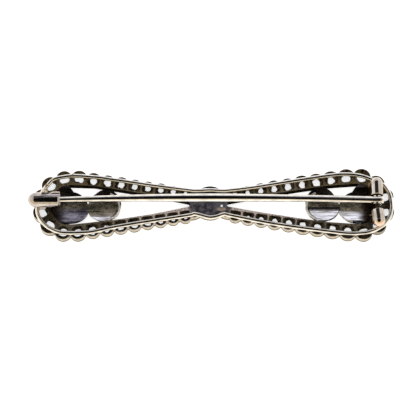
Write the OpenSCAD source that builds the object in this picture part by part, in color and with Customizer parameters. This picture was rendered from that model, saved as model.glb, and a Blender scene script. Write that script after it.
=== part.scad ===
// Bar brooch in the shape of a stretched bow, lying face down with its pin upwards.
// X runs along the bar from the catch to the hinge, Z runs from the front to the back.
// The origin lies midway between the two ends, on the surface that the brooch lies on.

/* [Setting plate] */
// Length between the circles that the outermost scallops touch
plate_len = 60; // [57:0.5:64]
// Width of the same circles
plate_width = 12.8; // [12.4:0.1:13.6]
// Thickness of the metal from the front to the back
plate_thick = 1.25; // [1.15:0.05:1.5]
// Metal from the line of stones in to the edge of the opening
inner_band = 1.45; // [1.4:0.05:1.6]
// Metal from the line of stones out to the foot of the scallops
outer_band = 0.75; // [0.6:0.05:1]
// Distance from the middle of the waist to the middle of the brooch, on the catch's side
waist_shift = 0.65; // [0:0.05:0.8]
// Distance from the middle of the waist to where the lines of stones end
waist_x = 3.1; // [2.8:0.1:3.3]
// Distance from the middle line to the ends of the lines of stones
waist_half = 1.88; // [1.78:0.02:2]
// Distance from the middle of the waist to the rounded end of each opening
opening_x = 3; // [2.9:0.1:3.6]

/* [Stones] */
// Average spacing of the stones along the border
stone_pitch = 2.42; // [2.4:0.02:2.8]
// Diameter of the stones at the ends
stone_end = 2.2; // [1.9:0.05:2.3]
// Diameter of the stones at the waist
stone_waist = 1.55; // [1.4:0.05:1.6]
// Radius of the scallops at the ends
scallop_end = 1.45; // [1.35:0.05:1.6]
// Radius of the scallops at the waist
scallop_waist = 1.12; // [1.05:0.01:1.25]
// Clearance round each stone in its seat
stone_clear = 0.04; // [0.02:0.01:0.06]
// Distance that the flat top of a stone lies inside the front
table_sunk = 0.05; // [0.03:0.01:0.1]
// Ledge behind each stone, from its edge in to the drilled hole
ledge = 0.3; // [0.26:0.01:0.4]
// Length of each drilled hole, before it widens towards the back
hole_len = 0.15; // [0.1:0.05:0.3]
// Wall between a scallop's edge and its widened hole at the back
azure_wall = 0.25; // [0.2:0.01:0.3]

/* [Centre and end plates] */
// Radius of the round boss in the middle
boss_r = 2.85; // [2.6:0.05:3]
// Half the width of the plain metal beside the boss
centre_half = 2.15; // [2:0.05:2.3]
// Diameter of the small drilled hole beside the middle of the boss
peg_hole_d = 0.3; // [0.2:0.05:0.4]
// Distance from the middle of the boss to this hole, towards the hinge
peg_hole_x = 2.1; // [1.9:0.05:2.3]
// Radius of the outer disc of each end plate
outer_disc_r = 2.9; // [2.8:0.05:3.1]
// Radius of the inner disc of each end plate
inner_disc_r = 2.8; // [2.75:0.05:3]
// Distance between the centres of the two discs
disc_step = 5.45; // [5.2:0.05:5.5]
// Distance from the outer disc's centre to the end of the brooch
disc_inset = 6.45; // [6.2:0.05:6.7]
// Thickness of the end plates' sheet
sheet = 0.4; // [0.35:0.05:0.5]
// Radius of the vault that the sheet is bent to
vault_r = 6.4; // [6:0.1:8]
// Height of the vault's lowest line above the front
vault_low = 0.1; // [0.05:0.05:0.2]

/* [Gallery rail] */
// Diameter of the rail's wire
rail_d = 0.65; // [0.5:0.05:0.8]
// Depth that the wire is sunk into the back of the plate
rail_sunk = 0.06; // [0.05:0.01:0.1]
// Radius of the rail's round ends, to the middle of the wire
rail_end_r = 5.25; // [5.1:0.05:5.4]
// Distance from the end of the brooch to the middle of the wire
rail_inset = 0.5; // [0.4:0.05:0.8]
// Distance from the middle line to the wire where it is nearest
rail_waist = 2.05; // [1.95:0.05:2.2]
// Distance from the middle line to the wire where it passes the boss
rail_bulge = 2.63; // [2.5:0.01:2.8]
// Radius of the wire's curve past the boss
bulge_r = 2.2; // [2.1:0.05:2.3]
// Radius of the wire's curve at its narrowest place
dip_r = 1.2; // [1:0.1:1.4]
// Distance from the middle of the waist to the wire's narrowest place
dip_x = 2.3; // [2.2:0.05:2.4]
// Radius of the solder knots on the wire, as a share of the wire's radius
knot_share = 1.12; // [1.08:0.01:1.2]

/* [Hinge] */
// Distance from the end of the brooch to the hinge's axis
hinge_inset = 3.1; // [2.9:0.1:3.4]
// Place of the hinge's eye and of the pin across the bar
hinge_y = -0.2; // [-0.3:0.05:0]
// Height of the hinge's axis above the front
hinge_z = 3; // [2.9:0.1:3.4]
// Outer diameter of the knuckles
knuckle_d = 2.05; // [1.95:0.05:2.3]
// Length of the far knuckle, on the side of the catch's mouth, with its domed end
far_len = 3.25; // [3:0.05:3.4]
// Length of the near knuckle with its domed end
near_len = 2.6; // [2.4:0.05:2.8]
// Height of each knuckle's domed end
dome_h = 0.5; // [0.4:0.05:0.6]
// Width of each knuckle's foot along the bar
foot_width = 1.5; // [1.3:0.05:1.6]
// Length of the pin's eye along the hinge's axis
eye_len = 1.5; // [1.4:0.05:1.8]
// Gap between the eye and the far knuckle
eye_gap = 0.14; // [0.08:0.01:0.2]
// Gap between the eye and the near knuckle, where the old hinge has worn loose
near_gap = 0.95; // [0.6:0.05:1.1]
// Outer diameter of the eye
eye_d = 1.9; // [1.8:0.05:2]
// Diameter of the rivet
rivet_d = 0.8; // [0.7:0.02:0.9]
// Clearance between the rivet and the knuckles' holes
rivet_fit = 0.02; // [0.01:0.01:0.05]
// Clearance between the rivet and the eye's hole
eye_fit = 0.05; // [0.03:0.01:0.1]

/* [Pin] */
// Greatest diameter of the pin's wire
stem_d = 1.36; // [1.2:0.02:1.4]
// Height of the wire's root above the hinge's axis
stem_lift = 0.25; // [0.1:0.05:0.3]
// Rise of the bow in the middle of the wire
stem_bow = 1.05; // [0.8:0.05:1.15]
// Depth that the wire's root runs into the eye
root_lap = 0.4; // [0.3:0.05:0.45]
// Distance from the catch's closed end to the pin's tip
tip_inset = 1.25; // [1.1:0.05:1.4]

/* [Catch] */
// Outer diameter of the catch's tube
catch_d = 2.5; // [2.3:0.05:2.7]
// Thickness of the catch's wall
catch_wall = 0.36; // [0.3:0.02:0.4]
// Length of the catch with its closed end
catch_len = 5.3; // [4.9:0.1:5.6]
// Distance that the catch's closed end stands past the end of the brooch
catch_over = 0.65; // [0.5:0.05:0.8]
// Height of the catch's middle above the front
catch_z = 3.6; // [3.55:0.05:3.9]
// Length of the closed hood before the mouth starts
hood_len = 2.3; // [2:0.1:2.6]
// Angle of the mouth's upper edge above the middle
mouth_top = 84; // [75:1:88]
// Angle of the mouth's lower edge above the middle
mouth_low = 10; // [5:1:20]
// Distance from the start of the mouth to the start of its flared lip
lip_start = 0.9; // [0.7:0.1:1.2]
// Width of the flared lip, from the tube up to its free edge
lip_width = 0.8; // [0.7:0.05:0.9]
// Angle that the lip leans outwards
lip_lean = 38; // [25:1:45]
// Length of the block under the catch
block_len = 2; // [1.8:0.1:2.2]
// Width of the block under the catch
block_width = 1.4; // [1.2:0.1:1.6]
// Diameter of the strut from the block to the rail
strut_d = 0.84; // [0.7:0.02:0.9]

/* [Hidden] */

$fn = 48;
end_x = plate_len / 2;
eps = 0.01;
lap = 0.2;
arc_steps = 32;

// Line of the stones: a round end of radius line_r, then a straight limb to the waist
line_r = plate_width / 2 - scallop_end;
line_x = end_x - scallop_end - line_r;
reach = norm([line_x - waist_x, waist_half]);
slope = asin(line_r / reach) - atan2(waist_half, line_x - waist_x);
arc_len = line_r * (90 + slope) * PI / 180;
limb_len = sqrt(reach * reach - line_r * line_r);
line_len = arc_len + limb_len;

// The waist stands off the middle, so the lines of the hinge's half, 1, are longer than those
// of the catch's half, -1, at the same slope
function waist_middle(half) = -half * waist_shift;
function half_len(half) = line_len - waist_middle(half) / cos(slope);

// Stones of half a loop, counted from the end, each with its share of the line
half_count = round(line_len / stone_pitch);
last = half_count - 1;
taper = scallop_waist / scallop_end;
function weight(i) = 1 - (1 - taper) * i / last;
function sum_to(i) = i == 0 ? 0 : sum_to(i - 1) + weight(i - 1);
function stone_at(i, half) = half_len(half) * (sum_to(i) + weight(i) / 2) / sum_to(half_count);
function between(far, near, i) = far + (near - far) * i / last;

// Point of the line at a distance s from the end's middle
function line_turn(s) = min(s / line_r * 180 / PI, 90 + slope);
function line_point(s) =
    let (a = line_turn(s), t = max(s - arc_len, 0))
    [line_x + line_r * cos(a) - t * cos(slope), line_r * sin(a) - t * sin(slope)];

// Cut of the stones, as shares of their diameter
table_share = 0.56;
crown_share = 0.13;
girdle_share = 0.03;
pavilion_share = 0.38;

// Heights of the rail and places of the end plates
wire_r = rail_d / 2;
rail_z = plate_thick - rail_sunk + wire_r;
disc_x = end_x - disc_inset;

// Rail: centre of the round end, then the curves beside and over the boss, for each half
rail_x = end_x - rail_inset - rail_end_r;
bulge_y = rail_bulge - bulge_r;
function rail_slope(half) =
    let (far = rail_x - dip_x - waist_middle(half))
    asin(rail_end_r / norm([far, rail_waist])) - atan2(rail_waist, far);
function limb_dir(half) = [cos(rail_slope(half)), sin(rail_slope(half))];
function limb_out(half) = [-sin(rail_slope(half)), cos(rail_slope(half))];
function from_bulge(half) =
    let (near = [dip_x, rail_waist - bulge_y] + dip_r * limb_out(half), along = near * limb_dir(half))
    near + (sqrt(along * along - near * near + pow(bulge_r + dip_r, 2)) - along) * limb_dir(half);
function bulge_turn(half) = atan2(from_bulge(half)[1], from_bulge(half)[0]);
function bulge_c(half) = [waist_middle(half), bulge_y];
function bulge_end(half) = bulge_c(half) + bulge_r * [cos(bulge_turn(half)), sin(bulge_turn(half))];
function dip_c(half) = bulge_c(half) + from_bulge(half);
function dip_end(half) = dip_c(half) - dip_r * limb_out(half);
function rail_tangent(half) = [rail_x, 0] + rail_end_r * limb_out(half);
knot_r = wire_r * knot_share;

// Hinge, pin and catch
hinge_x = end_x - hinge_inset;
far_start = hinge_y + eye_len / 2 + eye_gap;
near_start = hinge_y - eye_len / 2 - near_gap;
stem_root = hinge_x - eye_d / 2 + root_lap;
catch_left = -end_x - catch_over;
catch_r = catch_d / 2;
catch_hole = catch_r - catch_wall;
stem_tip = catch_left + tip_inset;
stem_rings = 30;
stem_sides = 16;
ring_bias = 1.25;

// Share of the pin's length from the hinge, and share of its greatest radius there
stem_sections = [
    [0, 0.9],
    [0.22, 0.87],
    [0.48, 1],
    [0.6, 0.95],
    [0.78, 0.81],
    [0.86, 0.73],
    [0.93, 0.65],
    [0.97, 0.5],
    [1, 0.12]
];

// Outline of a half's line of stones moved out by o, closed across the waist
function loop_outline(o, half) =
    let (last_x = waist_x + waist_middle(half), last_y = waist_half + tan(slope) * waist_middle(half))
    concat(
        [for (k = [-arc_steps : arc_steps])
            let (a = k * (90 + slope) / arc_steps)
            [line_x + (line_r + o) * cos(a), (line_r + o) * sin(a)]],
        [[last_x - o * sin(slope), last_y + o * cos(slope)],
         [last_x - o * sin(slope), -last_y - o * cos(slope)]]
    );

// Outline of the opening inside a half's loop, with a round end at the waist
open_base = (waist_half - tan(slope) * waist_x) * cos(slope) - inner_band;
function opening_outline(o, half) =
    let (tip = opening_x + waist_middle(half), open_c = (tip + open_base) / (1 - sin(slope)), open_r = open_c - tip)
    concat(
        [for (k = [-arc_steps : arc_steps])
            let (a = k * (90 + slope) / arc_steps)
            [line_x + (line_r - inner_band + o) * cos(a), (line_r - inner_band + o) * sin(a)]],
        [for (k = [0 : arc_steps])
            let (a = 90 + slope + k * (180 - 2 * slope) / arc_steps)
            [open_c + (open_r + o) * cos(a), (open_r + o) * sin(a)]]
    );

// Both ends of the brooch carry the same shapes; $half is 1 at the hinge and -1 at the catch
module both_ends() {
    for ($half = [1, -1]) rotate(90 - 90 * $half) children();
}

// Children for each stone of a loop; $d is its diameter and $scallop its scallop's radius
module each_stone() {
    for (i = [0 : last])
        for (side = [-1, 1]) {
            s = stone_at(i, $half);
            p = line_point(s);
            $d = between(stone_end, stone_waist, i);
            $scallop = between(scallop_end, scallop_waist, i);
            translate([p[0], side * p[1], 0]) rotate(side * line_turn(s)) children();
        }
}

module plate_outline() {
    difference() {
        union() {
            both_ends() {
                polygon(loop_outline(outer_band, $half));
                each_stone() circle(r = $scallop);
            }
            translate([-waist_shift, 0]) {
                square([2 * waist_x + lap, 2 * centre_half], center = true);
                circle(r = boss_r);
            }
        }
        both_ends() polygon(opening_outline(0, $half));
        translate([peg_hole_x - waist_shift, 0]) circle(d = peg_hole_d);
    }
}

// Sheet of one end plate: two discs and the web to the end, bent about a line along the bar
module end_plate() {
    intersection() {
        linear_extrude(plate_thick * 2) intersection() {
            union() {
                translate([disc_x, 0]) circle(r = outer_disc_r);
                translate([disc_x - disc_step, 0]) circle(r = inner_disc_r);
                translate([disc_x, -plate_width / 2]) square([disc_inset, plate_width]);
            }
            polygon(opening_outline(lap, $half));
        }
        translate([disc_x - plate_width, 0, vault_low + vault_r]) rotate([0, 90, 0]) difference() {
            cylinder(r = vault_r, h = 2 * plate_width, $fn = 96);
            translate([0, 0, -lap]) cylinder(r = vault_r - sheet, h = 2 * (plate_width + lap), $fn = 96);
        }
    }
}

// Room for one stone of diameter d: seat, cone, drilled hole and its widening at the back
module seat(d, back_r) {
    girdle_z = table_sunk + (crown_share + girdle_share) * d;
    seat_r = d / 2 + stone_clear;
    hole_r = d / 2 - ledge;
    hole_z = girdle_z + (seat_r - hole_r) * 2 * pavilion_share;
    rotate_extrude() polygon([
        [0, -eps], [seat_r, -eps], [seat_r, girdle_z], [hole_r, hole_z],
        [hole_r, hole_z + hole_len], [back_r, plate_thick], [back_r, plate_thick + eps],
        [0, plate_thick + eps]
    ]);
}

// Stretch of the rail's wire along a straight line
module wire_line(a, b) {
    translate([a[0], a[1], rail_z])
        rotate([0, 90, atan2(b[1] - a[1], b[0] - a[0])])
            cylinder(r = wire_r, h = norm(b - a));
}

// Stretch of the rail's wire along an arc
module wire_arc(c, r, from, to) {
    translate([c[0], c[1], rail_z]) rotate(from)
        rotate_extrude(angle = to - from, $fn = 96) translate([r, 0]) circle(r = wire_r, $fn = 32);
}

module knot(p) {
    translate([p[0], p[1], rail_z]) sphere(r = knot_r, $fn = 32);
}

module rail() {
    for (side = [0, 1]) mirror([0, side, 0])
        wire_arc(bulge_c(1), bulge_r, bulge_turn(1), 180 - bulge_turn(-1));
    both_ends() {
        wire_arc([rail_x, 0], rail_end_r, -90 - rail_slope($half), 90 + rail_slope($half));
        for (side = [0, 1]) mirror([0, side, 0]) {
            wire_line(dip_end($half), rail_tangent($half));
            wire_arc(dip_c($half), dip_r, 180 + bulge_turn($half), 270 + rail_slope($half));
            knot(rail_tangent($half));
            knot(dip_end($half));
            knot(bulge_end($half));
        }
    }
}

// One knuckle on the +Y side, with its foot on the plate
module knuckle(start, len) {
    r = knuckle_d / 2;
    straight = len - dome_h;
    translate([hinge_x, start, hinge_z]) rotate([-90, 0, 0]) rotate_extrude() polygon(concat(
        [[0, 0], [r, 0]],
        [for (a = [0 : 15 : 75]) [r * cos(a), straight + dome_h * sin(a)]],
        [[0, straight + dome_h]]
    ));
    translate([hinge_x - foot_width / 2, start, plate_thick - lap])
        cube([foot_width, straight, hinge_z - plate_thick]);
}

// Shell of the catch, with its axis along X and its closed end at the start
module catch_shell() {
    steps = [0 : 15 : 75];
    rotate([0, 90, 0]) rotate_extrude() polygon(concat(
        [[0, 0]],
        [for (a = steps) [catch_r * sin(a + 15), catch_r * (1 - cos(a + 15))]],
        [[catch_r, catch_len], [catch_hole, catch_len]],
        [for (a = steps) [catch_hole * cos(a), catch_r - catch_hole * sin(a)]],
        [[0, catch_r - catch_hole]]
    ));
}

// Wedge along X that opens the mouth between its two edges
module mouth() {
    far = catch_d;
    translate([hood_len, 0, 0]) rotate([90, 0, 90]) linear_extrude(catch_len) polygon([
        [0, 0], far * [cos(mouth_low), sin(mouth_low)], far * [cos(mouth_top), sin(mouth_top)]
    ]);
}

// Lip of the mouth's lower edge, flared outwards to lead the pin in
module lip() {
    length = catch_len - hood_len - lip_start;
    mid_r = catch_r - catch_wall / 2;
    translate([hood_len + lip_start, mid_r * cos(mouth_low), mid_r * sin(mouth_low)])
        rotate([-lip_lean, 0, 0]) translate([0, -catch_wall / 2, -catch_wall / 2])
            cube([length, catch_wall, lip_width + catch_wall / 2]);
}

// Catch on its block, with a strut that leans from the block to the rail
module clasp() {
    block_top = catch_z - catch_hole - catch_wall / 2;
    strut_x = catch_left + hood_len + strut_d / 4;
    strut_y = sqrt(pow(rail_end_r, 2) - pow(strut_x + rail_x, 2));
    translate([catch_left, 0, catch_z]) difference() {
        catch_shell();
        mouth();
    }
    translate([catch_left, 0, catch_z]) lip();
    translate([-end_x + scallop_end / 2, -block_width / 2, plate_thick - lap])
        cube([block_len, block_width, block_top - plate_thick + lap]);
    translate([strut_x, 0, block_top]) rotate([-90 - atan2(block_top - rail_z, strut_y), 0, 0])
        cylinder(d = strut_d, h = norm([strut_y, block_top - rail_z]));
}

module frame() {
    color([0.42, 0.4, 0.37]) union() {
        difference() {
            union() {
                linear_extrude(plate_thick) plate_outline();
                both_ends() end_plate();
                knuckle(far_start, far_len);
                mirror([0, 1, 0]) knuckle(-near_start, near_len);
                clasp();
            }
            both_ends() each_stone() seat($d, $scallop - azure_wall);
            translate([hinge_x, 0, hinge_z]) rotate([90, 0, 0])
                cylinder(d = rivet_d + 2 * rivet_fit, h = plate_width, center = true);
        }
        rail();
    }
}

// Height of the pin's middle at a share of its length from the hinge
function stem_z(share) =
    let (u = 2 * share - 1, root = hinge_z + stem_lift)
    root + (catch_z - root) * share + stem_bow * (1 - u * u);

function stem_ring(share) =
    let (r = stem_d / 2 * lookup(share, stem_sections), x = stem_root + (stem_tip - stem_root) * share)
    [for (k = [0 : stem_sides - 1])
        let (a = 360 * k / stem_sides)
        [x, r * cos(a), stem_z(share) + r * sin(a)]];

// Rings stand closer towards the tip
function ring_share(i) = 1 - pow(1 - i / stem_rings, ring_bias);

module stem() {
    n = stem_sides;
    points = [for (i = [0 : stem_rings]) each stem_ring(ring_share(i))];
    skin = [for (i = [0 : stem_rings - 1], j = [0 : n - 1])
        let (a = i * n + j, b = i * n + (j + 1) % n)
        each [[a, b, a + n], [b, b + n, a + n]]];
    root_face = [for (j = [n - 1 : -1 : 0]) j];
    tip_face = [for (j = [0 : n - 1]) stem_rings * n + j];
    polyhedron(points, concat(skin, [root_face, tip_face]));
}

module pin_stem() {
    color([0.8, 0.78, 0.72]) translate([0, hinge_y, 0]) difference() {
        union() {
            translate([hinge_x, 0, hinge_z]) rotate([90, 0, 0])
                cylinder(d = eye_d, h = eye_len, center = true);
            stem();
        }
        translate([hinge_x, 0, hinge_z]) rotate([90, 0, 0])
            cylinder(d = rivet_d + 2 * eye_fit, h = eye_len + 2 * lap, center = true);
    }
}

module hinge_rivet() {
    far_end = far_start + far_len;
    color([0.7, 0.68, 0.62]) translate([hinge_x, far_end, hinge_z]) rotate([90, 0, 0])
        cylinder(d = rivet_d, h = far_end - near_start + near_len);
}

// Cut stone with its table down: eight-sided table, kites, girdle and a pointed back
module stone(d) {
    table_z = table_sunk;
    girdle_z = table_z + crown_share * d;
    back_z = girdle_z + girdle_share * d;
    points = concat(
        [for (k = [0 : 7]) [d * table_share / 2 * cos(45 * k), d * table_share / 2 * sin(45 * k), table_z]],
        [for (z = [girdle_z, back_z], k = [0 : 15]) [d / 2 * cos(22.5 * k), d / 2 * sin(22.5 * k), z]],
        [[0, 0, back_z + pavilion_share * d]]
    );
    crown = [for (k = [0 : 7])
        let (t = k, u = (k + 1) % 8, a = 8 + 2 * k, b = a + 1, c = 8 + (2 * k + 2) % 16)
        each [[t, a, b], [t, b, u], [u, b, c]]];
    sides = [for (k = [0 : 15])
        let (a = 8 + k, b = 8 + (k + 1) % 16)
        each [[a, a + 16, b + 16, b], [a + 16, 40, b + 16]]];
    polyhedron(points, concat([[for (k = [0 : 7]) k]], crown, sides));
}

// Stones of the hinge's half, 1, or of the catch's half, -1
module stones($half) {
    color([0.93, 0.95, 0.98]) rotate(90 - 90 * $half) each_stone() stone($d);
}

module right_stones() {
    stones(1);
}

module left_stones() {
    stones(-1);
}

frame();
pin_stem();
hinge_rivet();
left_stones();
right_stones();
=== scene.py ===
from math import asin, atan2, cos, pi, radians, sin, sqrt
from random import Random

import bpy
from mathutils import Matrix, Vector


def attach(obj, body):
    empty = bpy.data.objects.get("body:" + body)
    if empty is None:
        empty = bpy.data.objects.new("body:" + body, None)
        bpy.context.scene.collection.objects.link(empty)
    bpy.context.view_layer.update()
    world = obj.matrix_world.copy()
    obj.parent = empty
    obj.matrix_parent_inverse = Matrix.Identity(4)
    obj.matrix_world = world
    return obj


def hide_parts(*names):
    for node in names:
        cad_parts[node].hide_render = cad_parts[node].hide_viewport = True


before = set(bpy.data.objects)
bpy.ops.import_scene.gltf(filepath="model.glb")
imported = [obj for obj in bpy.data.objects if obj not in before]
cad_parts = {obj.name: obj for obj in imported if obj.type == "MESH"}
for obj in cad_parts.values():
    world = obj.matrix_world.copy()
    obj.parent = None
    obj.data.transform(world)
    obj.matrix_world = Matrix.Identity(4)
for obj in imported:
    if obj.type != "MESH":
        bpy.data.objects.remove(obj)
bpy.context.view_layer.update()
MM = 0.001

# The camera looks down on the back of the brooch from the side of the bar, with a long
# lens, so that the bar fills the width of the picture.
aim = Vector((-1.0, -0.68, 1.25)) * MM
camera_height = radians(67)
camera_distance = 350 * MM
towards_camera = Vector((0, -cos(camera_height), sin(camera_height)))
bpy.ops.object.camera_add(location=aim + towards_camera * camera_distance)
camera = bpy.context.object
camera.data.lens = 183
camera.data.clip_start = 0.01
roll = Matrix.Rotation(radians(-0.2), 4, "Z")
look = (aim - camera.location).to_track_quat("-Z", "Y").to_matrix().to_4x4()
camera.matrix_world = Matrix.Translation(camera.location) @ look @ roll
bpy.context.scene.camera = camera

# The setting plate is one sheet of old white metal, sawn to a stretched bow with a scallop
# round each stone. Behind each stone it is cut open to a flared cell, with a thin bar between
# two cells. It is black in the cells, and bright along the edges, partly worn and partly painted highlight.
plate_thick = 1.25
bench_low, bench_high = -1, 2  # a tool that cuts right through stands from below the plate to above it
line_x, line_r, waist_x, waist_half = 23.6, 4.95, 3.1, 1.88
line_reach = sqrt((line_x - waist_x) ** 2 + waist_half ** 2)
line_slope = asin(line_r / line_reach) - atan2(waist_half, line_x - waist_x)
band_out = 0.52
waist_shift = 0.65
cells_a_limb = 12


def alone(*pieces):
    """Selects these pieces and nothing else."""
    bpy.ops.object.select_all(action="DESELECT")
    for piece in pieces:
        piece.select_set(True)
    bpy.context.view_layer.objects.active = pieces[0]


def edit(piece, how="FACE"):
    alone(piece)
    bpy.ops.object.mode_set(mode="EDIT")
    bpy.ops.mesh.select_mode(type=how)
    bpy.ops.mesh.select_all(action="SELECT")


def pick(piece, wanted, kind="polygons"):
    """In edit mode, leaves selected the faces, edges or vertices that wanted says yes to."""
    bpy.ops.mesh.select_all(action="DESELECT")
    bpy.ops.object.mode_set(mode="OBJECT")
    for part in getattr(piece.data, kind):
        part.select = bool(wanted(part))
    bpy.ops.object.mode_set(mode="EDIT")


def done():
    bpy.ops.object.mode_set(mode="OBJECT")


def drum(x, y, r, low, high, rim=0.0, sides=64):
    """Upright round block. Where rim is given, both its rims are rounded."""
    middle, reach = (low + high) / 2 * MM, (high - low) / 2 * MM
    bpy.ops.mesh.primitive_cylinder_add(
        vertices=sides, radius=r * MM, depth=2 * reach, location=(x * MM, y * MM, middle))
    block = bpy.context.object
    bpy.ops.object.transform_apply()
    if rim:
        def off_middle(edge):
            return abs(sum(block.data.vertices[i].co.z for i in edge.vertices) / 2 - middle)

        edit(block, "EDGE")
        pick(block, lambda edge: off_middle(edge) > reach / 2, "edges")
        bpy.ops.mesh.bevel(offset=rim * MM, segments=2)
        done()
    return block


def hulled(*drums):
    """Block with straight sides that touch these drums."""
    alone(*drums)
    bpy.ops.object.join()
    edit(drums[0])
    bpy.ops.mesh.convex_hull()
    done()
    return drums[0]


def combine(piece, tool, how="DIFFERENCE"):
    modifier = piece.modifiers.new("combine", "BOOLEAN")
    modifier.operation, modifier.solver, modifier.object = how, "MANIFOLD", tool
    modifier.material_mode = "TRANSFER"
    alone(piece)
    bpy.ops.object.modifier_apply(modifier=modifier.name)
    bpy.data.objects.remove(tool)
    return piece


def copy_of(piece):
    twin = piece.copy()
    twin.data = piece.data.copy()
    bpy.context.scene.collection.objects.link(twin)
    return twin


def finish_piece(piece, name, angle=38):
    alone(piece)
    bpy.ops.object.transform_apply()
    edit(piece)
    bpy.ops.mesh.remove_doubles(threshold=2e-7)
    bpy.ops.mesh.select_all(action="SELECT")
    bpy.ops.mesh.normals_make_consistent(inside=False)
    done()
    bpy.ops.object.shade_smooth_by_angle(angle=radians(angle))
    piece.name = piece.data.name = name
    return piece


class Amount:
    """A number that changes over a surface. Sums with it add Math nodes."""

    def __init__(self, nodes, socket):
        self.nodes, self.socket = nodes, socket

    def sum(self, operation, *values):
        return self.nodes.node("ShaderNodeMath", {"operation": operation}, dict(enumerate(values)))

    def __add__(self, other): return self.sum("ADD", self, other)
    def __radd__(self, other): return self.sum("ADD", other, self)
    def __sub__(self, other): return self.sum("SUBTRACT", self, other)
    def __rsub__(self, other): return self.sum("SUBTRACT", other, self)
    def __mul__(self, other): return self.sum("MULTIPLY", self, other)
    def __rmul__(self, other): return self.sum("MULTIPLY", other, self)
    def __truediv__(self, other): return self.sum("DIVIDE", self, other)
    def __rtruediv__(self, other): return self.sum("DIVIDE", other, self)
    def __pow__(self, other): return self.sum("POWER", self, other)
    def __abs__(self): return self.sum("ABSOLUTE", self)
    def __neg__(self): return self.sum("MULTIPLY", self, -1)

    def between(self, low, high):
        """0 below low, 1 above high, and a soft step between them. High below low turns it round."""
        return self.nodes.node("ShaderNodeMapRange", {"interpolation_type": "SMOOTHSTEP"},
                               {"Value": self, "From Min": low, "From Max": high})


class Nodes:
    """A tree of nodes that patterns and colours are added to."""

    def __init__(self, tree):
        self.tree = tree

    def node(self, kind, settings, sockets, out=0):
        made = self.tree.nodes.new(kind)
        for key, value in settings.items():
            setattr(made, key, value)
        for key, value in sockets.items():
            if isinstance(value, Amount):
                self.tree.links.new(value.socket, made.inputs[key])
            elif isinstance(value, bpy.types.NodeSocket):
                self.tree.links.new(value, made.inputs[key])
            else:
                made.inputs[key].default_value = value
        socket = made.outputs[out]
        return Amount(self, socket) if socket.type == "VALUE" else socket

    def place(self):
        return self.node("ShaderNodeTexCoord", {}, {}, "Object")

    def parts(self, vector):
        return [self.node("ShaderNodeSeparateXYZ", {}, {0: vector}, axis) for axis in "XYZ"]

    def facing(self):
        """Parts of the surface's own direction."""
        return self.parts(self.node("ShaderNodeNewGeometry", {}, {}, "True Normal"))

    def noise(self, size, detail=3, stretch=(1, 1, 1), at=(0, 0, 0)):
        """Cloudy pattern from 0 to 1 with patches of about size millimetres."""
        spot = self.node("ShaderNodeMapping", {}, {
            "Vector": self.place(), "Location": at, "Scale": [s / (size * MM) for s in stretch]})
        return self.node("ShaderNodeTexNoise", {}, {"Vector": spot, "Scale": 1, "Detail": detail})

    def mix(self, amount, low, high):
        colours = [(*c, 1) if isinstance(c, tuple) else c for c in (low, high)]
        sockets = {0: amount, 6: colours[0], 7: colours[1]}
        return self.node("ShaderNodeMix", {"data_type": "RGBA"}, sockets, 2)

    def bump(self, height, depth):
        return self.node("ShaderNodeBump", {}, {"Height": height, "Distance": depth * MM, "Strength": 1})


class Finish(Nodes):
    """A material of nodes on one Principled shader."""

    def __init__(self, name, **constants):
        self.material = bpy.data.materials.new(name)
        self.material.use_nodes = True
        super().__init__(self.material.node_tree)
        self.shader = self.tree.nodes["Principled BSDF"]
        for socket, value in constants.items():
            self.shader.inputs[socket.replace("_", " ")].default_value = value

    def give(self, **sockets):
        for name, value in sockets.items():
            socket = value.socket if isinstance(value, Amount) else value
            self.tree.links.new(socket, self.shader.inputs[name.replace("_", " ")])
        return self.material


def stone_step(i):
    """Share of a scallop's width at the end that the cell i has."""
    return 1 - (1 - 1.12 / 1.45) * i / (cells_a_limb - 1)


all_steps = sum(stone_step(i) for i in range(cells_a_limb))


def line_len(half):
    """The waist stands off the middle, so the hinge's half, 1, has longer limbs than the catch's, -1."""
    limb = sqrt(line_reach ** 2 - line_r ** 2)
    return line_r * (pi / 2 + line_slope) + limb + half * waist_shift / cos(line_slope)


def cell_place(i, side, half):
    """Place of a cell's middle in its own half, and the direction out of the border there."""
    s = line_len(half) * (sum(stone_step(k) for k in range(i)) + stone_step(i) / 2) / all_steps
    turn = min(s / line_r, pi / 2 + line_slope)
    run = max(s - line_r * (pi / 2 + line_slope), 0)
    return (line_x + line_r * cos(turn) - run * cos(line_slope),
            side * (line_r * sin(turn) - run * sin(line_slope)), side * turn)


def metal_black():
    """Inside of the cells: black with brown dirt, the brown lighter on the far half, and a dull gleam along
    the back rim that is partly wear and partly painted highlight.
    """
    f = Finish("blackened_cells", Metallic=0.85)
    dirt = f.noise(0.5, 4).between(0.35, 0.65)
    y, z = f.parts(f.place())[1:]
    worn = f.noise(0.35, 2, at=(0.3, 0, 0)).between(0.45, 0.62)
    # Painted highlight, partly wear: a pale band high on the cell walls, in patches, weaker on the far half.
    rim_wear_and_highlight = (z / MM).between(0.95, 1.24) * worn * (1 - y.between(0, 0.0015) * 0.5)
    brown = f.mix(y.between(0, 0.002), (0.07, 0.052, 0.026), (0.16, 0.12, 0.055))
    colour = f.mix(dirt, (0.01, 0.008, 0.006), brown)
    colour = f.mix(rim_wear_and_highlight * 0.6, colour, (0.5, 0.4, 0.24))
    return f.give(Base_Color=colour, Roughness=0.34 + dirt * 0.2, Normal=f.bump(f.noise(0.12, 3), 0.02))


def metal_wall():
    """Walls of the openings, painted near black for the shade in them, with no specular sheen."""
    f = Finish("opening_wall", Specular_IOR_Level=0.0)
    dirt = f.noise(0.6, 4).between(0.35, 0.65)
    # Painted shade: two near-black tones, varied by the noise.
    colour = f.mix(dirt, (0.002, 0.0016, 0.0012), (0.012, 0.009, 0.005))
    return f.give(Base_Color=colour, Roughness=0.5 + dirt * 0.2)


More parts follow.
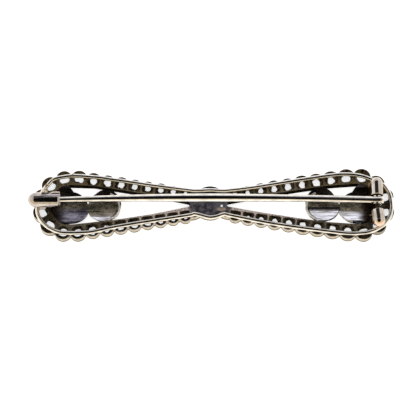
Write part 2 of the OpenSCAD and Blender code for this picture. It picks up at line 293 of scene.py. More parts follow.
def metal_back():
    """Flat back: tarnished to a dark olive brown, slate on the boss, and pale on the thin bars from wear and
    painted highlight. Painted shade darkens the boss's far edge and the walls low down, and the pale walls
    are partly worn and partly painted light.
    """
    f = Finish("tarnished_back", Metallic=0.9)
    x, y, z = f.parts(f.place())
    x, y, z = x / MM + waist_shift, y / MM, z / MM
    boss = ((x * x + y * y) ** 0.5).between(3.9, 3.2)
    # Painted highlight, partly wear: the thin bars along the limbs are pale, most on the near side.
    bar_wear_and_highlight = abs(x).between(17.5, 14) * (1 - boss) * (y.between(1.5, -1) * 0.85 + 0.15)
    cloud = f.noise(1.8, 4).between(0.3, 0.7)
    fine = f.noise(0.25, 3).between(0.35, 0.65)
    spot = f.noise(0.9, 4, at=(3, 1, 0)).between(0.32, 0.54)
    colour = f.mix(cloud, (0.024, 0.019, 0.012), (0.08, 0.064, 0.04))
    slate = f.mix(spot, (0.045, 0.04, 0.05), f.mix(fine, (0.13, 0.122, 0.142), (0.21, 0.2, 0.22)))
    # Painted shade: the boss goes near black towards its far edge.
    colour = f.mix(boss, colour, f.mix(y.between(1.6, 2.2), slate, (0.02, 0.016, 0.016)))
    gold = abs(x).between(5, 9) * (1 - boss) * y.between(0, 1)
    colour = f.mix(gold * (0.3 + fine * 0.4), colour, (0.36, 0.27, 0.13))
    colour = f.mix(bar_wear_and_highlight * (0.4 + fine * 0.6), colour, (0.93, 0.8, 0.74))
    ends = abs(x).between(13, 17) * abs(x).between(27, 24) * y.between(0, -2)
    colour = f.mix(ends * (0.15 + fine * 0.4), colour, (0.6, 0.5, 0.36))
    solder = ((((x - 1.85) / 0.85) ** 2 + (abs(y + 0.88) / 0.36) ** 2) ** 0.5).between(1.1, 0.75)
    colour = f.mix(solder * (0.35 + fine * 0.45), colour, (0.7, 0.55, 0.4))
    # The upright walls get their own pale colour, partly worn polish and partly painted light; it is darker
    # towards the hinge end.
    upright = 1 - abs(f.facing()[2]).between(0.25, 0.5)
    worn = f.noise(0.4, 3).between(0.3, 0.7)
    wall = f.mix(worn, (0.4, 0.34, 0.23), (0.66, 0.6, 0.47))
    wall = f.mix(x.between(25, 28) * 0.7, wall, (0.2, 0.17, 0.11))
    # Painted shade: the walls darker low down, near the table.
    wall = f.mix(z.between(0.65, 0.3) * (0.65 + worn * 0.3), wall, (0.09, 0.065, 0.035))
    colour = f.mix(upright, colour, wall)
    rough = 0.42 + fine * 0.14 - upright * 0.14
    return f.give(Base_Color=colour, Roughness=rough, Normal=f.bump(f.noise(0.18, 3), 0.012))


black_cells, back_metal, opening_wall = metal_black(), metal_back(), metal_wall()


def scallop_radius(i, half):
    """The limbs of the hinge's half are a little broader than those of the catch's half."""
    near_waist = 0.06 * max(i - 6, 0) if half > 0 else 0.025 * max(i - 5, 0)
    at_end = 0.14 if half < 0 and i < 2 else 0
    return 1.45 * stone_step(i) + min(i / 4, 1) * (0.2 if half > 0 else -0.06) - near_waist + at_end


def stone_width(i):
    return 2.2 - 0.65 * i / (cells_a_limb - 1)


def cells():
    return [(i, side) for i in range(cells_a_limb) for side in (-1, 1)]


hand = Random(7)
swell = {(half, i, side): hand.uniform(-0.04, 0.07) for half in (1, -1) for i, side in cells()}
scallop = drum(0, 0, 1, 0, plate_thick, rim=0.04, sides=40)
scallop.data.materials.append(back_metal)

# Tool for a cell: a round hole below, and above it a flare to a rounded square.
hole_top, flare_steps, flare_low, bar_half, outer_edge = 0.7, (0.4, 0.15, 0.2), 0.93, 0.2, 0.1
flare = drum(0, 0, 1, -0.5, hole_top, sides=32)
flare.data.materials.append(black_cells)
edit(flare)
for height in flare_steps:
    pick(flare, lambda f: f.normal.z > 0.9)
    bpy.ops.mesh.extrude_region_move(TRANSFORM_OT_translate={"value": (0, 0, height * MM)})
done()


def opening_tool(half, wider=0.0):
    """Block of the opening's shape in one half. Its edges bow out a little and its tip is round."""
    if half > 0:
        drums = [(2.52, 0, 0.45), (7.6, 0, 1.42), (14.2, 0, 2.55), (19.1, 0, 3.28), (line_x, 0, 3.62)]
    else:
        drums = [(4.46, 0, 0.48), (10.6, 0, 1.76), (16.4, 0, 2.7), (20.2, -0.17, 3.25), (line_x, 0, 3.55)]
    return hulled(*[drum(x, y, r + wider, bench_low, bench_high, sides=96) for x, y, r in drums])


def cell_tool(i, side, half):
    one = copy_of(flare)
    x, y, turn = cell_place(i, side, half)
    limb = min(max((i - 2) / 2, 0), 1)
    waist_end = max(i - 7, 0) / 4
    out_ledge, along_ledge = (0.45, 0.28) if i else (0.6, 0.48)
    hole_out = stone_width(i) / 2 - out_ledge + 0.1 * limb - 0.08 * waist_end + hand.uniform(-0.05, 0.05)
    hole_along = stone_width(i) / 2 - along_ledge - 0.12 * limb - 0.1 * waist_end + hand.uniform(-0.06, 0.06)
    lobes = [(n, hand.uniform(0, 2 * pi), hand.uniform(0.03, 0.09)) for n in (2, 3, 5)]
    hole_turn, hole_power = hand.uniform(-0.3, 0.3), hand.uniform(2, 2.7)
    half_wide = line_len(half) * stone_step(i) / all_steps / 2 - bar_half + 0.07 * limb
    out = scallop_radius(i, half) + swell[half, i, side] - outer_edge
    inside = 1.0 - (0.2 * limb if half > 0 else 0)
    inner_power = 2.7 + 4 * limb
    squeeze = 0 if limb == 1 else 1 / line_r
    for v in one.data.vertices:
        px, py, pz = v.co.x / MM, v.co.y / MM, v.co.z / MM
        a = atan2(py, px)
        if pz < hole_top + 0.01:
            b = a + hole_turn
            size = (abs(cos(b)) ** hole_power + abs(sin(b)) ** hole_power) ** (-1 / hole_power)
            size *= 1 + sum(d * cos(n * a + start) for n, start, d in lobes)
            v.co = Vector((size * cos(a) * hole_out, size * sin(a) * hole_along, pz)) * MM
        else:
            wide = 1 if pz > plate_thick - 0.05 else flare_low
            power = inner_power if px < 0 else 2.6
            size = (abs(cos(a)) ** power + abs(sin(a)) ** power) ** (-1 / power) * wide
            along, across = size * cos(a), size * sin(a)
            depth = along * (out if along > 0 else inside)
            v.co = Vector((depth, across * half_wide * (1 + depth * squeeze), pz)) * MM
    one.data.transform(Matrix.Translation((x * MM, y * MM, 0)) @ Matrix.Rotation(turn, 4, "Z"))
    return one


def seat_tool(i, side, half):
    x, y, _ = cell_place(i, side, half)
    d = stone_width(i)
    seat_r, seat_top, hole_r, taper = d / 2 + 0.03, 0.07 + 0.16 * d, d / 2 - 0.33, 0.3
    seat = drum(x, y, seat_r, -0.1, seat_top, sides=32)
    seat.data.materials.append(black_cells)
    edit(seat)
    pick(seat, lambda f: f.normal.z > 0.9)
    bpy.ops.mesh.extrude_region_move(TRANSFORM_OT_translate={"value": (0, 0, taper * MM)})
    bpy.ops.transform.resize(value=[hole_r / seat_r] * 2 + [1], center_override=(x * MM, y * MM, 0))
    done()
    return seat


def half_plate(half):
    waist = waist_x - half * waist_shift
    end_r = line_r + band_out
    waist_r = end_r - (line_x - waist) * sin(line_slope) + 0.06 * half
    piece = hulled(drum(line_x, 0, end_r, 0, plate_thick, sides=96), drum(waist, 0, waist_r, 0, plate_thick))
    piece.data.materials.append(back_metal)
    for i, side in cells():
        one = copy_of(scallop)
        x, y, _ = cell_place(i, side, half)
        place = Matrix.Translation((x * MM, y * MM, 0))
        r = scallop_radius(i, half) + swell[half, i, side]
        one.data.transform(place @ Matrix.Diagonal((r, r, 1, 1)))
        combine(piece, one, "UNION")
    tool = opening_tool(half)
    tool.data.materials.append(opening_wall)
    combine(piece, tool)
    for i, side in cells():
        combine(piece, cell_tool(i, side, half))
        combine(piece, seat_tool(i, side, half))
    if half < 0:
        piece.data.transform(Matrix.Rotation(pi, 4, "Z"))
    return piece


plate = combine(half_plate(1), half_plate(-1), "UNION")
for tool in (scallop, flare):
    bpy.data.objects.remove(tool)
boss_y, boss_r = 0.4, 2.85
boss = drum(-waist_shift, boss_y, boss_r, 0, plate_thick, rim=0.04, sides=72)
boss.data.materials.append(back_metal)
combine(plate, boss, "UNION")

# The small hole beside the boss was drilled aslant.
pinhole_x, pinhole_y, pinhole_r, pinhole_slant = 1.28, -0.3, 0.2, 0.42
pinhole = drum(pinhole_x, pinhole_y, pinhole_r, bench_low, bench_high, sides=20)
for v in pinhole.data.vertices:
    v.co.y += (plate_thick * MM - v.co.z) * pinhole_slant
pinhole.data.materials.append(black_cells)
combine(plate, pinhole)
finish_piece(plate, "setting_plate", 20)
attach(plate, "brooch")
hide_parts("frame")

# Each end has a thin plate behind its opening: two discs of bent sheet that run into each
# other and into the end of the bar. They are polished, and grey where they have tarnished,
# with a painted highlight band low down and painted shade on their far half.
disc_y = -0.27


def sheet_metal():
    f = Finish("end_plate_sheet", Metallic=1.0)
    x, y = f.parts(f.place())[:2]
    x, y = x / MM, y / MM
    cloud = f.noise(1.3, 4, stretch=(1, 2, 1)).between(0.3, 0.7)
    fine = f.noise(0.22, 3).between(0.35, 0.65)
    streak = f.noise(0.7, 5, stretch=(0.28, 2.4, 1)).between(0.4, 0.56)
    right, outer = x.between(-1, 1), abs(x).between(20.7, 21)
    olive = f.mix(cloud, (0.16, 0.14, 0.09), f.mix(fine, (0.3, 0.26, 0.18), (0.5, 0.43, 0.31)))
    violet = f.mix(cloud, (0.08, 0.072, 0.09), (0.34, 0.31, 0.36))
    colour = f.mix(outer * (1 - right) * y.between(0.2, -1.2) + y.between(-1.2, -1.8) * 0.4, olive, violet)
    # Painted shade: the far half of each end plate goes near black.
    colour = f.mix(y.between(0.2, 1.2) * 0.85, colour, (0.022, 0.019, 0.022))
    # Painted reflection: a dark line across the right inner disc, just above its highlight band.
    line = y.between(-0.12, -0.32) * y.between(-0.85, -0.62)
    colour = f.mix(line * right * (1 - outer) * 0.9, colour, (0.03, 0.022, 0.035))
    # Painted highlight: a bright band low across the discs, where the sheet is also left less rough.
    low = y.between(-0.72, -0.9) * (1 - outer) + y.between(-0.8, -1.8) * outer * abs(x).between(25.2, 23.6)
    left_low = y.between(-1.95, -2.1) * (1 - outer)
    polish_and_highlight = low * right + left_low * (1 - right)
    colour = f.mix(polish_and_highlight * (0.3 + streak * 0.7), colour, (1.0, 0.98, 1.0))
    shift_x = abs(x) - 18.1 - (1 - right) * 0.3
    reach = (shift_x * shift_x + (y - disc_y) * (y - disc_y)) ** 0.5 - right * 0.15
    # Painted shadow: a dark ring just inside the rolled edge, where it lies on the sheet.
    contact_shadow = reach.between(2.18, 2.28) * reach.between(2.46, 2.36)
    contact_shadow = contact_shadow * y.between(-0.3, -0.9) * shift_x.between(0, -0.5)
    colour = f.mix(contact_shadow * 0.85, colour, (0.05, 0.03, 0.02))
    rim = right * reach.between(2.42, 2.55) * shift_x.between(0.6, 1.2) * y.between(-0.3, -0.9) * (1 - outer)
    colour = f.mix(rim, colour, (0.02, 0.016, 0.014))
    web = right * abs(x).between(23.7, 25.2) + (1 - right) * abs(x).between(23.8, 26.4)
    colour = f.mix(web, colour, f.mix(fine, (0.01, 0.008, 0.006), (0.05, 0.035, 0.03)))
    rough = 0.1 + (1 - polish_and_highlight) * (0.16 + fine * 0.12)
    return f.give(Base_Color=colour, Roughness=rough, Normal=f.bump(f.noise(0.35, 3), 0.01))


def rolled_edge():
    f = Finish("end_plate_edge", Metallic=0.9)
    cloud = f.noise(0.6, 3).between(0.3, 0.7)
    colour = f.mix(cloud, (0.62, 0.58, 0.48), (0.8, 0.78, 0.7))
    return f.give(Base_Color=colour, Roughness=0.22 + cloud * 0.14, Normal=f.bump(f.noise(0.3, 2), 0.01))


sheet_finish, edge_finish = sheet_metal(), rolled_edge()
vault_x, vault_half, vault_r, vault_low = 22, 12, 6.4, 0.1
sheet, sheet_high, tuck, sheet_round = 0.4, 1.3, 0.15, 0.09
# For each end: middle and radius of the inner disc, of the outer disc, of the round that widens
# the inner disc on its far side and of the web.
discs = {1: ((17.97, disc_y - 0.02, 2.84), (23.6, disc_y - 0.36, 2.97), (17.75, 0.42, 2.6), (26.6, 0, 4.3)),
         -1: ((18.25, disc_y + 0.05, 2.73), (23.7, disc_y - 0.23, 2.93), (17.9, 0.3, 2.5), (26.85, 0, 4.3))}


def end_plate(half):
    """Sheet of one end, bent to a shallow vault and cut to two discs and the web behind the end."""
    vault = drum(0, 0, vault_r, -vault_half, vault_half, sides=160)
    combine(vault, drum(0, 0, vault_r - sheet, -vault_half - 1, vault_half + 1, sides=160))
    lie = Matrix.Translation((vault_x * half * MM, 0, (vault_low + vault_r) * MM))
    vault.data.transform(lie @ Matrix.Rotation(pi / 2, 4, "Y"))
    inner, outer, bay, web = [drum(x * half, y, r, 0, sheet_high, sides=96) for x, y, r in discs[half]]
    outline = combine(combine(combine(outer, inner, "UNION"), bay, "UNION"), web, "UNION")
    tool = opening_tool(half, tuck)
    tool.data.transform(Matrix.Rotation(0 if half > 0 else pi, 4, "Z"))
    combine(outline, tool, "INTERSECT")
    combine(vault, outline, "INTERSECT")
    vault.data.materials.clear()
    vault.data.materials.append(sheet_finish)
    edit(vault, "EDGE")
    bpy.ops.mesh.remove_doubles(threshold=2e-6)
    bpy.ops.mesh.select_all(action="DESELECT")
    bpy.ops.mesh.edges_select_sharp(sharpness=radians(50))
    bpy.ops.mesh.bevel(offset=sheet_round * MM, segments=2)
    done()
    return vault


for half, name in ((1, "end_plate_right"), (-1, "end_plate_left")):
    piece = end_plate(half)
    finish_piece(piece, name)
    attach(piece, "brooch")

# The gallery rail is one round wire, bent by hand and soldered on the back of the plate
# along the stones, in at the waist and out round the middle.


def bright_metal(name, colour, rough):
    f = Finish(name, Metallic=1.0)
    cloud = f.noise(1.2, 3).between(0.35, 0.7)
    scratch = f.noise(0.35, 2, stretch=(0.15, 3, 3)).between(0.45, 0.75)
    dull = tuple(c * 0.75 for c in colour)
    return f.give(Base_Color=f.mix(cloud, colour, dull), Roughness=rough + cloud * 0.02 + scratch * 0.02,
                  Normal=f.bump(f.noise(0.7, 2), 0.002))


wire_metal = bright_metal("rail_wire", (0.95, 0.9, 0.8), 0.005)
wire_r, wire_z, wire_round, wire_steps = 0.35, 1.54, 4, 6
rail_points = [
    (-29.2, -0.51), (-29.17, -1.58), (-28.73, -2.66), (-27.88, -3.73), (-27.04, -4.36), (-25.37, -5.05),
    (-23.72, -5.16), (-22.08, -5.13), (-20.44, -5.03), (-18.8, -4.69), (-17.16, -4.3), (-13.87, -3.68),
    (-10.58, -3.13), (-7.28, -2.6), (-3.98, -2.06), (-3.25, -1.84), (-2.1, -2.1), (-0.76, -2.48),
    (0.5, -2.3), (1.64, -1.9), (2.63, -2.12), (5.92, -2.86), (9.21, -3.53), (12.5, -4.11), (15.78, -4.61),
    (18.24, -4.94), (19.88, -5.17), (22.34, -5.42), (24.81, -5.32), (25.97, -5.01), (26.97, -4.57),
    (27.99, -3.88), (28.69, -3.01), (29.23, -1.75), (29.38, -0.32), (29.18, 1.38), (28.56, 2.65),
    (27.92, 3.38), (26.13, 4.28), (24.32, 4.95), (21.83, 5.2), (19.33, 4.99), (15.99, 4.48), (12.65, 3.93),
    (9.32, 3.34), (5.99, 2.78), (2.8, 2.38), (1.67, 2.28), (0.5, 2.33), (-0.74, 2.4), (-2, 2.33),
    (-3.31, 2.32), (-3.98, 2.4), (-7.3, 2.86), (-10.62, 3.36), (-13.95, 3.93), (-17.28, 4.46),
    (-18.95, 4.74), (-20.62, 4.9), (-22.29, 5.05), (-23.95, 5.05), (-25.61, 4.79), (-26.44, 4.58),
    (-26.93, 4.24), (-27.3, 3.82), (-27.95, 3), (-28.5, 2.05), (-28.95, 0.9)]


def eased(points, steps):
    """Points of a smooth closed curve through these points."""
    made = []
    for k in range(len(points)):
        p = [Vector(points[(k + j) % len(points)]) for j in (-1, 0, 1, 2)]
        for step in range(steps):
            t = step / steps
            made.append(0.5 * (2 * p[1] + (p[2] - p[0]) * t + (2 * p[0] - 5 * p[1] + 4 * p[2] - p[3]) * t ** 2
                               + (3 * p[1] - p[0] - 3 * p[2] + p[3]) * t ** 3))
    return made


def wire_along(points, r, closed=True):
    """Round wire along these points, from a ring of edges that becomes a curve and a mesh again."""
    bpy.ops.mesh.primitive_circle_add(vertices=len(points), radius=MM)
    wire = bpy.context.object
    for v, p in zip(wire.data.vertices, points):
        v.co = Vector(p) * MM
    if not closed:
        edit(wire, "EDGE")
        pick(wire, lambda e: set(e.vertices) == {0, len(points) - 1}, "edges")
        bpy.ops.mesh.delete(type="EDGE")
        done()
    alone(wire)
    bpy.ops.object.convert(target="CURVE")
    wire = bpy.context.object
    wire.data.bevel_depth, wire.data.bevel_resolution, wire.data.use_fill_caps = r * MM, wire_round, True
    bpy.ops.object.convert(target="MESH")
    return bpy.context.object


rail = wire_along([(p.x, p.y, wire_z) for p in eased(rail_points, wire_steps)], wire_r)
rail.data.materials.append(wire_metal)
finish_piece(rail, "gallery_rail", 60)
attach(rail, "brooch")

# The inner disc of each end plate has its edge rolled over towards the middle of the bar, and
# the hinge's outer disc a thinner one beside the gap between the discs.
roll_steps = 22
# Name, half, which disc, first and last angle, and radius of the rolled edge.
rolls = [("rolled_edge_right", 1, 0, 114, 246, 0.2), ("rolled_edge_left", -1, 0, -66, 66, 0.15),
         ("rolled_edge_outer", 1, 1, 190, 254, 0.14)]
for name, half, which, first, last, r in rolls:
    x, disc_mid, disc_r = discs[half][which]
    points = []
    for step in range(roll_steps + 1):
        a = radians(first + (last - first) * step / roll_steps)
        y = disc_mid + (disc_r - r) * sin(a)
        top = vault_low + vault_r - sqrt((vault_r - sheet) ** 2 - y * y)
        points.append((x * half + (disc_r - r) * cos(a), y, top - 0.2 * r))
    roll_edge = wire_along(points, r, closed=False)
    roll_edge.data.materials.append(edge_finish)
    finish_piece(roll_edge, name, 60)
    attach(roll_edge, "brooch")

# The catch is a short tube with a closed round hood, cut open along its upper far side for the
# pin, with a tongue bent up beside this mouth. It stands on a block, and a rough blob of
# solder joins it to the rail.
catch_left, catch_y, catch_z = -30.65, -0.12, 3.6
catch_r, catch_wall, catch_len, hood_len, mouth_round = 1.25, 0.36, 5.3, 2.3, 0.5


def turned(profile, centre, along, out, steps=64):
    """Shape turned from a closed or open profile of (along the axis, out from the axis)."""
    axis, away, centre = Vector(along), Vector(out), Vector(centre)
    spots = [(centre + axis * a + away * r) * MM for a, r in profile]
    bpy.ops.mesh.primitive_plane_add(size=MM, location=spots[0])
    piece = bpy.context.object
    bpy.ops.object.transform_apply()
    edit(piece, "VERT")
    bpy.ops.mesh.merge(type="CENTER")
    for here, there in zip(spots, spots[1:]):
        bpy.ops.mesh.extrude_region_move(TRANSFORM_OT_translate={"value": there - here})
    bpy.ops.mesh.select_all(action="SELECT")
    bpy.ops.mesh.spin(steps=steps, angle=2 * pi, center=centre * MM, axis=axis)
    bpy.ops.mesh.select_all(action="SELECT")
    bpy.ops.mesh.remove_doubles(threshold=2e-7)
    bpy.ops.mesh.select_all(action="SELECT")
    bpy.ops.mesh.normals_make_consistent(inside=False)
    done()
    return piece


def quarter(r, x, y, start, stop, n):
    """Points of an arc of a profile, from one angle to another in n steps."""
    angles = [radians(start + (stop - start) * k / n) for k in range(n + 1)]
    return [(x + r * cos(a), y + r * sin(a)) for a in angles]


def catch_finish():
    f = Finish("catch_tube", Metallic=1.0)
    x, y, z = f.parts(f.place())
    x, y, z = x / MM, y / MM - catch_y, z / MM - catch_z
    cloud = f.noise(0.9, 4).between(0.35, 0.7)
    # Painted highlight: the inner face of the wall is a bright, rough, non-metal white that stands for light
    # seen through the mouth.
    inside = (y * y + z * z) ** 0.5
    inside = inside.between(0.98, 0.93) * x.between(-28.5, -28.3)
    tongue = x.between(-28.4, -27.8) * y.between(0.95, 1.1) * z.between(-0.1, 0.1)
    colour = f.mix(cloud, (0.58, 0.52, 0.45), (0.43, 0.38, 0.33))
    # Painted shade: the lower half of the tube browner and darker.
    colour = f.mix(z.between(0.3, -0.3) * 0.6, colour, (0.52, 0.41, 0.29))
    colour = f.mix(inside, colour, (0.97, 0.95, 1.0))
    colour = f.mix(tongue, colour, (0.78, 0.68, 0.55))
    rough = 0.06 + cloud * 0.07 + tongue * 0.3 + inside * 0.3
    uneven = f.bump(f.noise(0.5, 3), 0.006)
    return f.give(Base_Color=colour, Roughness=rough, Metallic=1 - inside, Normal=uneven)


inner = catch_r - catch_wall
profile = ([(0, 0)] + quarter(catch_r, catch_r, 0, 172, 90, 10)
           + quarter(mouth_round, catch_len - mouth_round, catch_r - mouth_round, 90, 17, 8)
           + quarter(inner, catch_r, 0, 90, 172, 8) + [(catch_wall, 0), (0, 0)])
catch = turned(profile, (catch_left, catch_y, catch_z), (1, 0, 0), (0, 0, 1))

# Tool for the mouth: a wedge out from the axis, between two angles up from the far side.
mouth_top, mouth_low = radians(89), radians(10)
bpy.ops.mesh.primitive_cube_add(size=1)
wedge = bpy.context.object
start_x, stop_x, far = catch_left + hood_len, catch_left + catch_len + 1, 2.2
corners = [(0.0, 0.0), (far * cos(mouth_low), far * sin(mouth_low)),
           (far * cos(mouth_top), far * sin(mouth_top)), (0.0, 0.6)]
order = {(-1, -1): 0, (1, -1): 1, (1, 1): 2, (-1, 1): 3}
for v in wedge.data.vertices:
    y, z = corners[order[(1 if v.co.y > 0 else -1, 1 if v.co.z > 0 else -1)]]
    v.co = Vector((start_x if v.co.x < 0 else stop_x, catch_y + y, catch_z + z)) * MM
combine(catch, wedge)

# Tongue: its foot stands against the tube's wall, and its free edge is shorter and leans out.
bpy.ops.mesh.primitive_cube_add(size=1)
tongue = bpy.context.object
foot_at, edge_lean, half_thick = Vector((0, 0.82, 0.08)), Vector((0, 0.42, 0.35)), Vector((0, 0.17, -0.15))
foot_start, edge_start, tongue_stop, tongue_round = hood_len + 0.75, hood_len + 1.75, catch_len - 0.02, 0.14
for v in tongue.data.vertices:
    high, last = v.co.z > 0, v.co.x > 0
    lean = foot_at + (edge_lean if high else Vector((0, 0, 0)))
    across = half_thick * (1 if v.co.y > 0 else -1)
    x = catch_left + (tongue_stop if last else edge_start if high else foot_start)
    v.co = (Vector((x, catch_y, catch_z)) + lean + across) * MM
edit(tongue, "EDGE")
bpy.ops.mesh.bevel(offset=tongue_round * MM, segments=3)
done()
combine(catch, tongue, "UNION")

# Block below the hood.
block_x, block_z, block_long, block_wide, block_high = catch_left + 2.4, 1.85, 2.0, 1.4, 1.5
bpy.ops.mesh.primitive_cube_add(size=1, location=(block_x * MM, catch_y * MM, block_z * MM),
                                scale=(block_long * MM, block_wide * MM, block_high * MM))
block = bpy.context.object
alone(block)
bpy.ops.object.transform_apply()
edit(block, "EDGE")
bpy.ops.mesh.bevel(offset=0.12 * MM, segments=2)
done()
combine(catch, block, "UNION")
catch.data.materials.clear()
catch.data.materials.append(catch_finish())
finish_piece(catch, "catch")
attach(catch, "brooch")


def solder_metal():
    f = Finish("rough_solder", Metallic=0.9)
    grain = f.noise(0.3, 4).between(0.35, 0.65)
    colour = f.mix(grain, (0.3, 0.22, 0.12), (0.8, 0.7, 0.52))
    return f.give(Base_Color=colour, Roughness=0.3 + grain * 0.2, Normal=f.bump(f.noise(0.2, 3), 0.04))


def solder_lump(start, stop, thick, seed):
    """Lump from a ball: drawn out between two points and made uneven."""
    bpy.ops.mesh.primitive_uv_sphere_add(segments=28, ring_count=18, radius=1)
    lump = bpy.context.object
    start, stop, uneven = Vector(start), Vector(stop), Random(seed)
    knobs = [(Vector([uneven.gauss(0, 1) for _ in range(3)]).normalized(), uneven.uniform(-0.2, 0.25))
             for _ in range(14)]
    for v in lump.data.vertices:
        way = v.co.normalized()
        swell = 1 + sum(d * max(way.dot(k), 0) ** 6 for k, d in knobs)
        v.co = ((start + stop) / 2 + (stop - start) / 2 * v.co.y + Vector((way.x, 0, way.z)) * thick * swell
                + Vector((0, 0.12, 0)) * way.y) * MM
    return lump


# The blob runs from the catch down to the rail. Place and thickness of the knots on the rail.
blob_top, blob_foot, blob_thick, slant = (-28.05, 0.7, 2.75), (-27.95, 3.0, 1.5), 0.47, Vector((0.12, 0.3, 0))
knots = (((-26.93, 4.24), 0.37), ((-23.5, 5.17), 0.36), ((-27.7, 3.35), 0.38))
solder = solder_lump(blob_top, blob_foot, blob_thick, 3)
for place, thick in knots:
    spot = Vector((*place, wire_z))
    combine(solder, solder_lump(spot - slant, spot + slant, thick, 5), "UNION")
solder.data.materials.clear()
solder.data.materials.append(solder_metal())
finish_piece(solder, "catch_solder", 60)
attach(solder, "brooch")

# The hinge has two round knuckles with domed ends, each on its own foot. The near one is
# shorter and has been knocked a little aslant, and the worn hinge has a gap beside it.
hinge_x, hinge_y, hinge_z = 26.9, -0.2, 3.0
knuckle_r, knuckle_round, bore_r, end_wall = 1.025, 0.06, 0.42, 0.4
foot_half, foot_low, foot_short, foot_back, foot_round = 0.75, 1.15, 0.9, 0.02, 0.1
flange_out, flange_top = 1.3, 1.6


def knuckle_finish():
    f = Finish("hinge_knuckle", Metallic=1.0)
    cloud = f.noise(1.2, 3).between(0.35, 0.7)
    y, z = f.parts(f.place())[1:]
    colour = f.mix(cloud, (0.74, 0.67, 0.56), (0.54, 0.47, 0.38))
    # Painted shade: the knuckles darker where they face towards the brooch's right end.
    colour = f.mix(f.facing()[0].between(0.15, 0.75) * 0.6, colour, (0.4, 0.33, 0.24))
    # Painted highlight: a peach glow on the near knuckle's domed end.
    colour = f.mix((y / MM).between(-3.9, -4.3) * 0.7, colour, (0.85, 0.58, 0.42))
    colour = f.mix((z / MM).between(1.95, 1.55), colour, (0.22, 0.13, 0.06))
    return f.give(Base_Color=colour, Roughness=0.05 + cloud * 0.07, Normal=f.bump(f.noise(0.5, 2), 0.004))


def rivet_finish():
    f = Finish("blackened_rivet", Metallic=0.8)
    rust = f.noise(0.3, 3).between(0.4, 0.7)
    colour = f.mix(rust, (0.012, 0.01, 0.008), (0.06, 0.035, 0.015))
    return f.give(Base_Color=colour, Roughness=0.4 + rust * 0.2)


def knuckle(name, start, length, flange, way, turn):
    """One knuckle from its flat end at start towards its domed end, with the foot and its flange."""
    bore_end = length - end_wall
    angles = [radians(a) for a in range(0, 90, 10)]
    dome = [(length - knuckle_r * (1 - sin(a)), knuckle_r * cos(a)) for a in angles]
    profile = ([(0, bore_r), (0, knuckle_r - knuckle_round), (knuckle_round, knuckle_r)] + dome
               + [(length, 0), (bore_end, 0), (bore_end, bore_r), (0, bore_r)])
    piece = turned(profile, (hinge_x, start, hinge_z), (0, way, 0), (0, 0, 1))
    for out, long, top in ((foot_half, length - foot_short, hinge_z), (flange_out, flange, flange_top)):
        middle_y = start + way * (long / 2 + foot_back)
        middle = Vector((hinge_x + (foot_half - out) / 2, middle_y, (foot_low + top) / 2))
        bpy.ops.mesh.primitive_cube_add(size=1, location=middle * MM,
                                        scale=((foot_half + out) * MM, long * MM, (top - foot_low) * MM))
        foot = bpy.context.object
        alone(foot)
        bpy.ops.object.transform_apply()
        edit(foot, "EDGE")
        bpy.ops.mesh.bevel(offset=foot_round * MM, segments=2)
        done()
        bore = turned([(-1, 0), (-1, bore_r), (bore_end, bore_r), (bore_end, 0)],
                      (hinge_x, start, hinge_z), (0, way, 0), (0, 0, 1), 48)
        combine(piece, combine(foot, bore), "UNION")
    piece.data.materials.clear()
    piece.data.materials.append(knuckle_metal)
    pivot = Matrix.Translation((hinge_x * MM, start * MM, 0))
    piece.data.transform(pivot @ Matrix.Rotation(radians(turn), 4, "Z") @ pivot.inverted())
    finish_piece(piece, name)
    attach(piece, "brooch")


knuckle_metal = knuckle_finish()
knuckle("hinge_knuckle_far", start=0.69, length=3.25, flange=2.95, way=1, turn=0)
knuckle("hinge_knuckle_near", start=-1.9, length=2.85, flange=1.5, way=-1, turn=6)
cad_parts["hinge_rivet"].data.materials.clear()
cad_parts["hinge_rivet"].data.materials.append(rivet_finish())

# The pin is a springy wire that swells in its middle and tapers to the point in the catch.
# Its root ends in a round eye that turns on the rivet.
pin_metal = bright_metal("pin_wire", (0.95, 0.9, 0.8), 0.01)
stem_root, stem_tip = 26.35, catch_left + 1.25
root_z, stem_bow, stem_r = hinge_z + 0.25, 1.05, 0.68
# Place along the wire, from the root at 0 to the point at 1, and share of the radius stem_r there.
girth = [(0, 0.9), (0.22, 0.87), (0.48, 1), (0.6, 0.95), (0.78, 0.81), (0.86, 0.73), (0.93, 0.65),
         (0.97, 0.5), (1, 0.12)]
ring_count, ring_bias, eye_half, eye_r, eye_bore = 44, 1.2, 0.75, 0.68, 0.45


def along_table(table, u):
    for (a, low), (b, high) in zip(table, table[1:]):
        if u <= b:
            return low + (high - low) * (u - a) / (b - a)
    return table[-1][1]


def stem_at(u):
    rise = root_z + (catch_z - root_z) * u + stem_bow * (1 - (2 * u - 1) ** 2)
    return Vector((stem_root + (stem_tip - stem_root) * u, hinge_y, rise))


# Distance past the root and radius of the rings over the eye.
over_eye = ((1.6, 0.5), (1.58, 0.57), (1.5, 0.62), (0.8, 0.64))
rings = [(stem_at(0) + Vector((over, 0, 0)), r) for over, r in over_eye]
for k in range(ring_count + 1):
    share = 1 - (1 - k / ring_count) ** ring_bias
    rings.append((stem_at(share), stem_r * along_table(girth, share)))
bpy.ops.mesh.primitive_circle_add(vertices=32, radius=rings[0][1] * MM, fill_type="NGON",
                                  location=rings[0][0] * MM, rotation=(0, -pi / 2, 0))
stem = bpy.context.object
bpy.ops.object.transform_apply()
edit(stem)
for (here, r), (there, next_r) in zip(rings, rings[1:]):
    bpy.ops.mesh.extrude_region_move(TRANSFORM_OT_translate={"value": (there - here) * MM})
    bpy.ops.transform.resize(value=[next_r / r] * 3, center_override=there * MM)
bpy.ops.mesh.select_all(action="SELECT")
bpy.ops.mesh.normals_make_consistent(inside=False)
done()
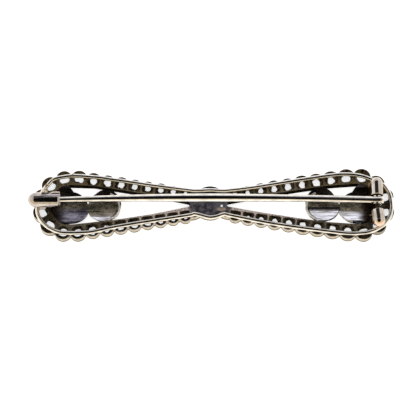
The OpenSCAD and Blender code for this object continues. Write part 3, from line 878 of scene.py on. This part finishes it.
eye = turned([(-eye_half, 0), (-eye_half, eye_r - 0.08), (0.06 - eye_half, eye_r), (eye_half - 0.06, eye_r),
              (eye_half, eye_r - 0.08), (eye_half, 0)], (hinge_x, hinge_y, hinge_z), (0, 1, 0), (0, 0, 1))
combine(stem, eye, "UNION")
bore = turned([(-1, 0), (-1, eye_bore), (1, eye_bore), (1, 0)],
              (hinge_x, hinge_y, hinge_z), (0, 1, 0), (0, 0, 1), 32)
combine(stem, bore)
stem.data.materials.clear()
stem.data.materials.append(pin_metal)
finish_piece(stem, "pin", 50)
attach(stem, "pin")
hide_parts("pin_stem")

# The stones are old cut, clear and set with their tables down, so that the back shows
# only their points through the cells.


def clear_stone():
    f = Finish("clear_stone", Roughness=0.0, IOR=1.33, Transmission_Weight=1.0)
    cloud = f.noise(1.5, 2).between(0.3, 0.7)
    return f.give(Base_Color=f.mix(cloud, (1.0, 1.0, 1.0), (0.94, 0.95, 0.97)))


stone_finish = clear_stone()
for name in ("left_stones", "right_stones"):
    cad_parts[name].data.materials.clear()
    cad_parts[name].data.materials.append(stone_finish)

# The brooch lies face down on a lit white table, under a pale tent.
under = 0.02 * MM
bpy.ops.mesh.primitive_plane_add(size=3, location=(0, 0, -under))
floor = bpy.context.object
floor.name = "table"
lit = Finish("white_table", Roughness=0.9, Emission_Color=(1, 1, 1, 1), Emission_Strength=0.75)
lit.shader.inputs["Base Color"].default_value = (0.8, 0.8, 0.8, 1)
floor.data.materials.append(lit.material)

# The wires are round mirrors. A dark card round the lens and a dark strip above the bar's far
# side give them their black lines.
card_far, card_r, strip_turn, strip_long, strip_wide = 0.2, 0.14, radians(24), 0.23, 0.085
bpy.ops.mesh.primitive_circle_add(vertices=64, radius=card_r, fill_type="NGON",
                                  location=aim + towards_camera * card_far)
card = bpy.context.object
card.rotation_euler = (pi / 2 - camera_height, 0, 0)
card.name = "camera_card"
dark = Finish("dark_card", Roughness=1.0)
dark.shader.inputs["Base Color"].default_value = (0.003, 0.003, 0.004, 1)
dark.shader.inputs["Specular IOR Level"].default_value = 0
card.data.materials.append(dark.material)
card.visible_camera = card.visible_diffuse = card.visible_shadow = card.visible_transmission = False
bpy.ops.mesh.primitive_plane_add(size=1, rotation=(-strip_turn, 0, 0),
                                 location=aim + Vector((0, sin(strip_turn), cos(strip_turn))) * card_far)
strip = bpy.context.object
strip.scale = (strip_long, strip_wide, 1)
strip.name = "dark_strip"
grey = Finish("grey_card", Roughness=1.0)
grey.shader.inputs["Base Color"].default_value = (0.02, 0.02, 0.022, 1)
grey.shader.inputs["Specular IOR Level"].default_value = 0
strip.data.materials.append(grey.material)
strip.visible_camera = strip.visible_diffuse = strip.visible_shadow = strip.visible_transmission = False

world = bpy.data.worlds.new("tent")
bpy.context.scene.world = world
world.use_nodes = True
sky = Nodes(world.node_tree)
north, up = sky.parts(sky.node("ShaderNodeTexCoord", {}, {}, "Generated"))[1:]
side = sky.mix(north.between(-0.5, 0.5), (1.0, 0.9, 0.72), (0.93, 0.95, 1.05))
tone = sky.mix(up.between(0.55, 0.98), side, (0.55, 0.54, 0.56))
background = world.node_tree.nodes["Background"]
world.node_tree.links.new(tone, background.inputs["Color"])
background.inputs["Strength"].default_value = 1.0
bpy.context.scene.view_settings.view_transform = "Standard"
